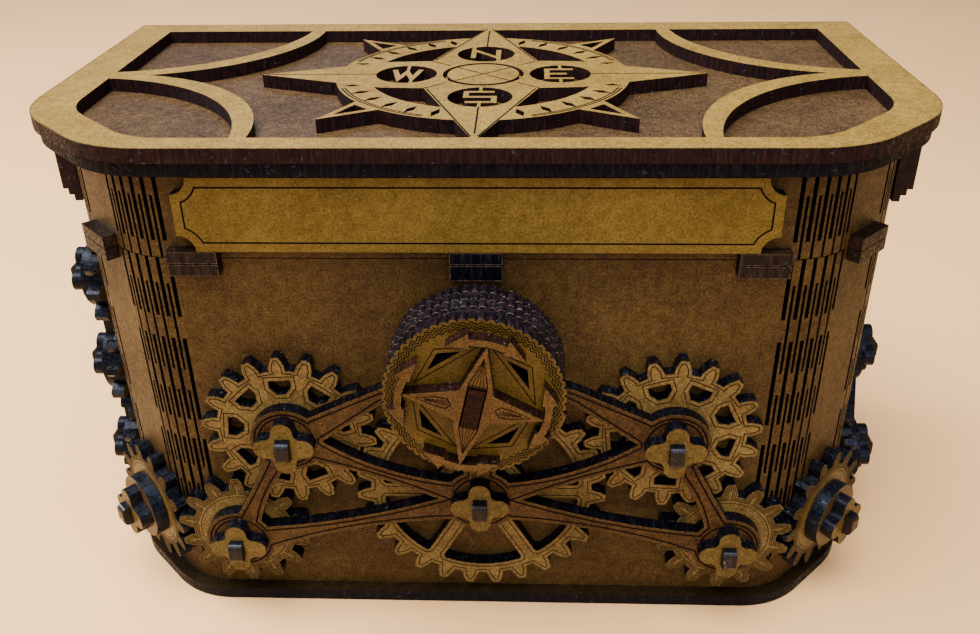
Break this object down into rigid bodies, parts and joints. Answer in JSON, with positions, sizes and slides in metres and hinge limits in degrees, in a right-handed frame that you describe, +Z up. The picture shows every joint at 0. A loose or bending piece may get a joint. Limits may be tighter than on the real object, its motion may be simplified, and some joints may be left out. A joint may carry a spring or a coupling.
{
  "type": "geared keepsake box",
  "caption": "Small hinged-lid box of laser-cut board with a knob-driven gear train on its walls and a fretwork lid with a compass rose.",
  "frame": {"origin": "centre of the underside of the base plate", "axes": "+X along the width to the right seen from the front, +Y to the back, +Z up"},
  "size_m": [0.2008, 0.1169, 0.1176],
  "materials": {
    "wall_board": "dark brown stained fibreboard, satin",
    "tan_board": "pale tan stained fibreboard, satin",
    "mauve_board": "mauve brown stained fibreboard, matt",
    "gold_board": "golden olive stained fibreboard, satin",
    "gear_board": "golden brown stained fibreboard with engraved lines, satin",
    "bridge_board": "red brown stained fibreboard with engraved lines, satin",
    "black_board": "near black stained fibreboard, glossy",
    "hinge_steel": "plated steel, satin",
    "magnet_nickel": "nickel plated magnet, polished"
  },
  "bodies": {
    "box": {"base_plate": "wall_board", "base_liner": "wall_board", "body_wrap": "wall_board", "back_panel": "wall_board", "body_rim": "wall_board", "front_nuts": "gold_board", "corner_nuts": "gold_board", "side_nuts": "gold_board", "front_pegs": "gold_board", "corner_pegs": "gold_board", "side_pegs": "gold_board", "bridge_plate": "bridge_board", "left_side_link": "bridge_board", "right_side_link": "bridge_board", "lower_seam_blocks": "black_board", "lower_catch": "black_board", "front_bushings": "black_board", "corner_bushings": "black_board", "side_bushings": "black_board", "corner_washers": "black_board", "body_hinge_leaves": "hinge_steel", "hinge_pins": "hinge_steel", "body_magnet": "magnet_nickel"},
    "lid": {"lid_fret": "tan_board", "compass_rose": "tan_board", "lid_panel": "mauve_board", "lid_former": "wall_board", "lid_wrap": "wall_board", "lid_back": "wall_board", "lid_rim": "wall_board", "lid_magnet": "magnet_nickel", "plaque": "gold_board", "left_side_plaque": "gold_board", "right_side_plaque": "gold_board", "upper_seam_blocks": "black_board", "upper_catch": "black_board", "lid_hinge_leaves": "hinge_steel"},
    "knob": {"knob_key": "gold_board", "knob_pinion": "gear_board", "knob_star": "bridge_board", "knob_face_disc": "bridge_board", "knob_rear_disc": "black_board", "knob_second_disc": "black_board", "knob_third_disc": "black_board", "knob_plain_disc": "black_board", "knob_retainer": "black_board", "knob_shaft": "black_board"},
    "centre_gear": {"centre_gear": "gear_board"},
    "upper_left_gear": {"upper_left_gear": "gear_board"},
    "upper_right_gear": {"upper_right_gear": "gear_board"},
    "lower_left_gear": {"lower_left_gear": "gear_board"},
    "lower_right_gear": {"lower_right_gear": "gear_board"},
    "left_corner_gear": {"left_corner_gear": "gear_board"},
    "right_corner_gear": {"right_corner_gear": "gear_board"},
    "left_low_side_gear": {"left_low_side_gear": "gear_board"},
    "left_middle_side_gear": {"left_middle_side_gear": "gear_board"},
    "left_high_side_gear": {"left_high_side_gear": "gear_board"},
    "right_low_side_gear": {"right_low_side_gear": "gear_board"},
    "right_high_side_gear": {"right_high_side_gear": "gear_board"}
  },
  "joints": [
    {"name": "lid_hinge", "type": "hinge", "parent": "box", "child": "lid", "pos_m": [0, 0.0466, 0.092], "axis": [-1, 0, 0], "range_deg": [0, 100]},
    {"name": "knob_spin", "type": "hinge", "parent": "box", "child": "knob", "pos_m": [0, -0.0445, 0.0719], "axis": [0, -1, 0], "continuous": true},
    {"name": "centre_gear_spin", "type": "hinge", "parent": "box", "child": "centre_gear", "pos_m": [0, -0.0445, 0.0349], "axis": [0, -1, 0], "continuous": true},
    {"name": "upper_left_gear_spin", "type": "hinge", "parent": "box", "child": "upper_left_gear", "pos_m": [-0.0421, -0.0445, 0.05081], "axis": [0, -1, 0], "continuous": true},
    {"name": "lower_left_gear_spin", "type": "hinge", "parent": "box", "child": "lower_left_gear", "pos_m": [-0.05607, -0.0445, 0.02202], "axis": [0, -1, 0], "continuous": true},
    {"name": "left_corner_gear_spin", "type": "hinge", "parent": "box", "child": "left_corner_gear", "pos_m": [-0.0791, -0.035, 0.02202], "axis": [-0.7071, -0.7071, 0], "continuous": true},
    {"name": "upper_right_gear_spin", "type": "hinge", "parent": "box", "child": "upper_right_gear", "pos_m": [0.0421, -0.0445, 0.05081], "axis": [0, -1, 0], "continuous": true},
    {"name": "lower_right_gear_spin", "type": "hinge", "parent": "box", "child": "lower_right_gear", "pos_m": [0.05607, -0.0445, 0.02202], "axis": [0, -1, 0], "continuous": true},
    {"name": "right_corner_gear_spin", "type": "hinge", "parent": "box", "child": "right_corner_gear", "pos_m": [0.0791, -0.035, 0.02202], "axis": [0.7071, -0.7071, 0], "continuous": true},
    {"name": "left_low_side_gear_spin", "type": "hinge", "parent": "box", "child": "left_low_side_gear", "pos_m": [-0.0886, -0.012, 0.02202], "axis": [-1, 0, 0], "continuous": true},
    {"name": "left_middle_side_gear_spin", "type": "hinge", "parent": "box", "child": "left_middle_side_gear", "pos_m": [-0.0886, -0.012, 0.04802], "axis": [-1, 0, 0], "continuous": true},
    {"name": "left_high_side_gear_spin", "type": "hinge", "parent": "box", "child": "left_high_side_gear", "pos_m": [-0.0886, -0.012, 0.07202], "axis": [-1, 0, 0], "continuous": true},
    {"name": "right_low_side_gear_spin", "type": "hinge", "parent": "box", "child": "right_low_side_gear", "pos_m": [0.0886, -0.012, 0.02202], "axis": [1, 0, 0], "continuous": true},
    {"name": "right_high_side_gear_spin", "type": "hinge", "parent": "box", "child": "right_high_side_gear", "pos_m": [0.0886, -0.00197, 0.04601], "axis": [1, 0, 0], "continuous": true}
  ],
  "couplings": [
    {"joint": "centre_gear_spin", "follows": "knob_spin", "ratio": -0.37037},
    {"joint": "upper_left_gear_spin", "follows": "knob_spin", "ratio": 0.55556},
    {"joint": "lower_left_gear_spin", "follows": "knob_spin", "ratio": -0.71429},
    {"joint": "left_corner_gear_spin", "follows": "knob_spin", "ratio": 0.71429},
    {"joint": "left_low_side_gear_spin", "follows": "knob_spin", "ratio": -0.71429},
    {"joint": "upper_right_gear_spin", "follows": "knob_spin", "ratio": 0.55556},
    {"joint": "lower_right_gear_spin", "follows": "knob_spin", "ratio": -0.71429},
    {"joint": "right_corner_gear_spin", "follows": "knob_spin", "ratio": 0.71429},
    {"joint": "right_low_side_gear_spin", "follows": "knob_spin", "ratio": -0.71429},
    {"joint": "left_middle_side_gear_spin", "follows": "knob_spin", "ratio": 0.83333},
    {"joint": "left_high_side_gear_spin", "follows": "knob_spin", "ratio": -0.83333},
    {"joint": "right_high_side_gear_spin", "follows": "knob_spin", "ratio": 0.83333}
  ]
}
